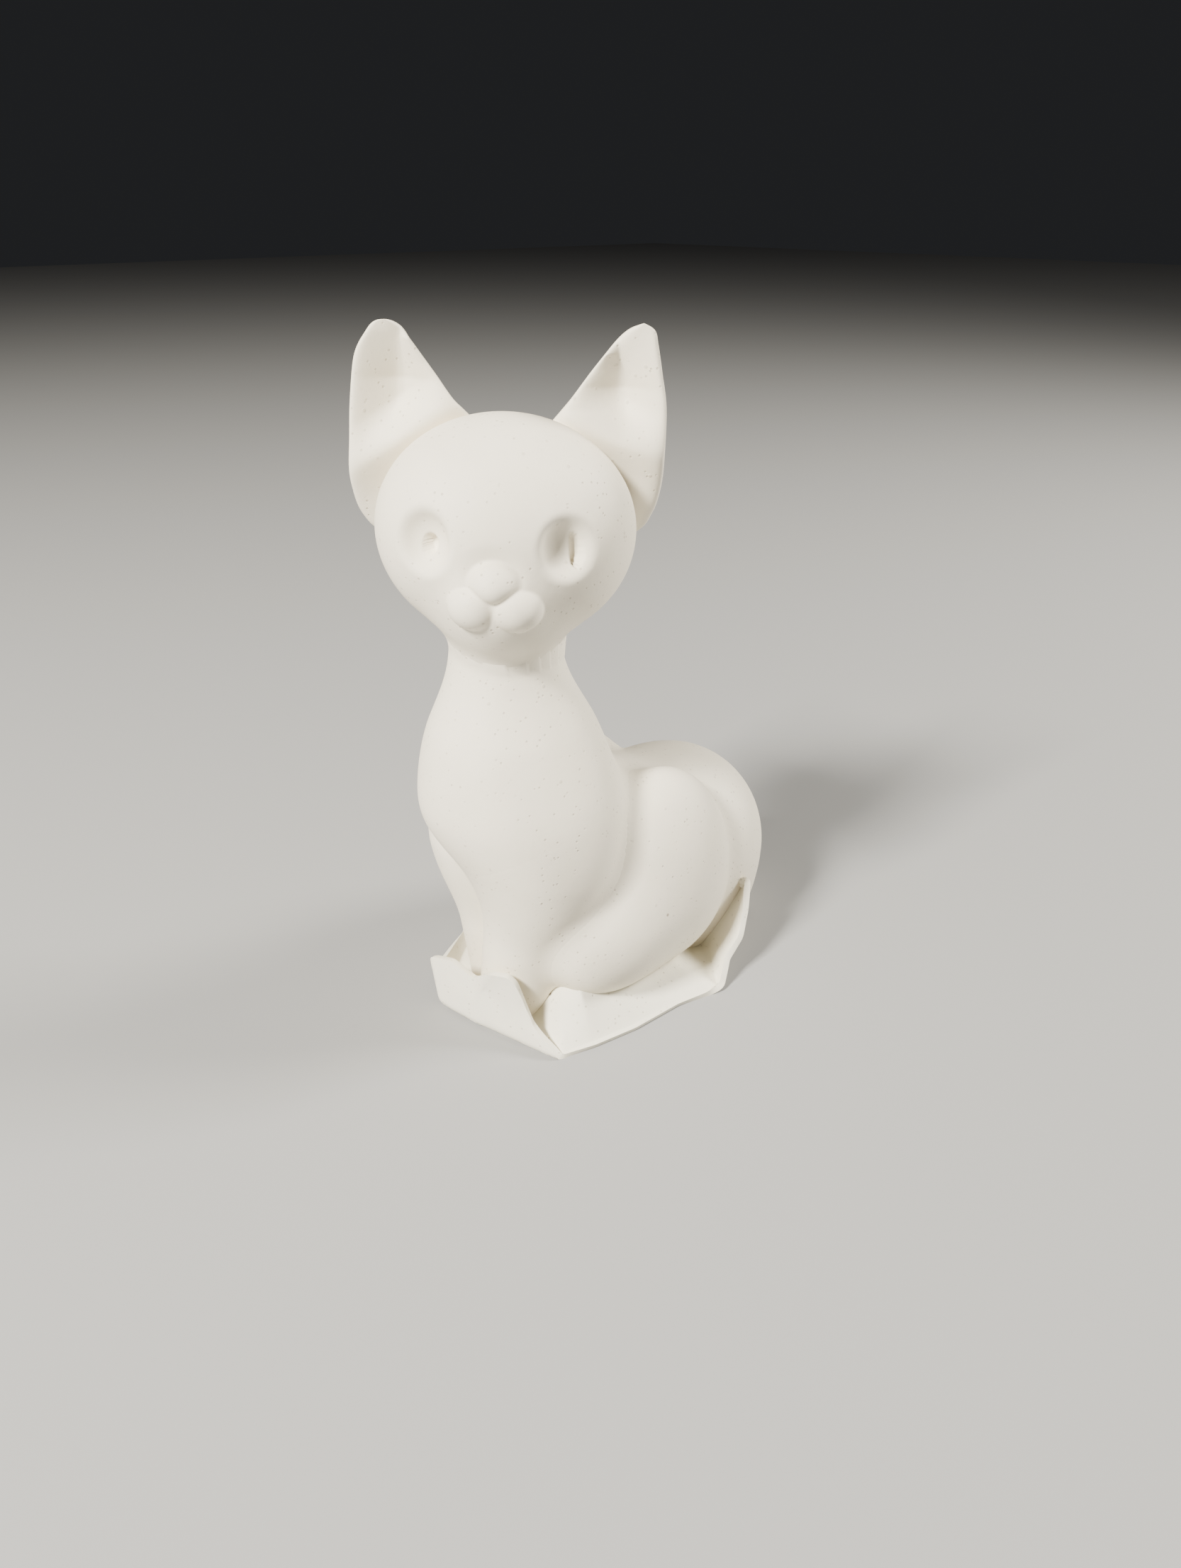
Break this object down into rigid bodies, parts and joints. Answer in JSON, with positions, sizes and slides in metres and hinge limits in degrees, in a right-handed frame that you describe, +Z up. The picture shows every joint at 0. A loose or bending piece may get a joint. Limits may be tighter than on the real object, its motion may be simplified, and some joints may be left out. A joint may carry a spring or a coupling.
{
  "type": "ceramic cat figurine",
  "caption": "Seated cat figurine with tall dished ears and a turned head, cast hollow in matte off-white ceramic, with a thin turned-up sheet left round its base; stands free on its flat base",
  "frame": {"origin": "on the ground, in the middle of the cat's width, on the flat base under the loin", "axes": "+Z up; the cat sits along Y and faces -Y; +X is the cat's left side"},
  "size_m": [0.0697, 0.0961, 0.1399],
  "materials": {
    "bisque": "matte, unglazed, with fine pinholes",
    "skirt_bisque": "matte, unglazed, thin and slightly cooler"
  },
  "bodies": {
    "root": {"body": "bisque", "head": "bisque", "left_ear": "bisque", "right_ear": "bisque", "left_foreleg": "bisque", "right_foreleg": "bisque", "left_haunch": "bisque", "right_haunch": "bisque", "left_hind_foot": "bisque", "right_hind_foot": "bisque", "tail": "bisque", "skirt": "skirt_bisque"}
  },
  "joints": []
}
